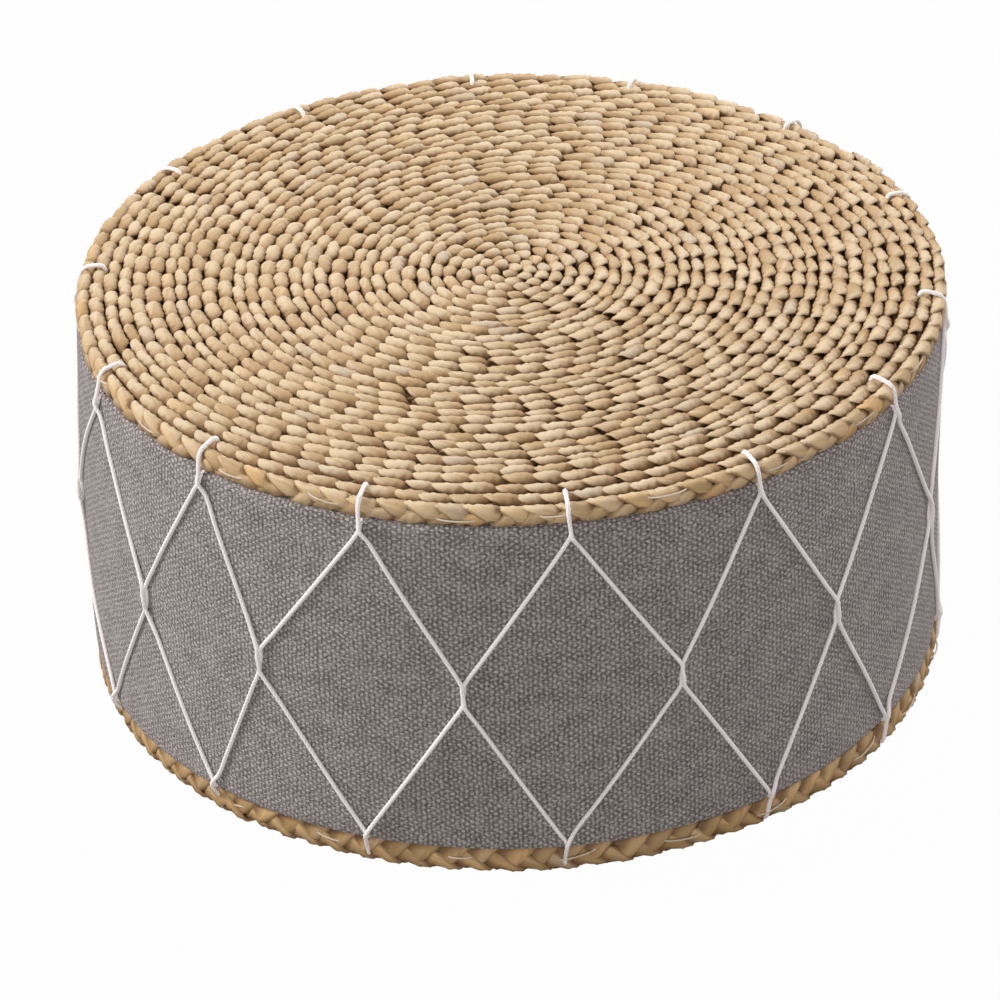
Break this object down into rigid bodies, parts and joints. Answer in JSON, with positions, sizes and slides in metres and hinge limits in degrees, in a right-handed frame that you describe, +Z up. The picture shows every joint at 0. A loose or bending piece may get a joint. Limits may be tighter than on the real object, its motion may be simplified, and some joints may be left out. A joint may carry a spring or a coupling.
{
  "type": "floor pouf stool",
  "caption": "Low round floor stool: spiral mats of plaited leaf at the top and the foot, a woven cloth side over a foam core, and white cotton cord laced round it in a diamond net.",
  "frame": {"origin": "on the floor under the middle of the stool", "axes": "+Z up from the floor through the seat, -Y towards the front of the picture's view"},
  "size_m": [0.4564, 0.4566, 0.2247],
  "materials": {
    "plaited_leaf": "dry, lightly glossy straw",
    "side_cloth": "coarse grey-brown weave",
    "lining_cloth": "plain weave",
    "cotton_cord": "white twisted cotton",
    "foam": "open-cell foam"
  },
  "bodies": {
    "root": {"top_mat": "plaited_leaf", "bottom_mat": "plaited_leaf", "side_sleeve": "side_cloth", "bottom_cloth": "lining_cloth", "top_cloth": "lining_cloth", "lower_foam": "foam", "middle_foam": "foam", "upper_foam": "foam", "lacing_cord_a": "cotton_cord", "lacing_cord_b": "cotton_cord"}
  },
  "joints": []
}
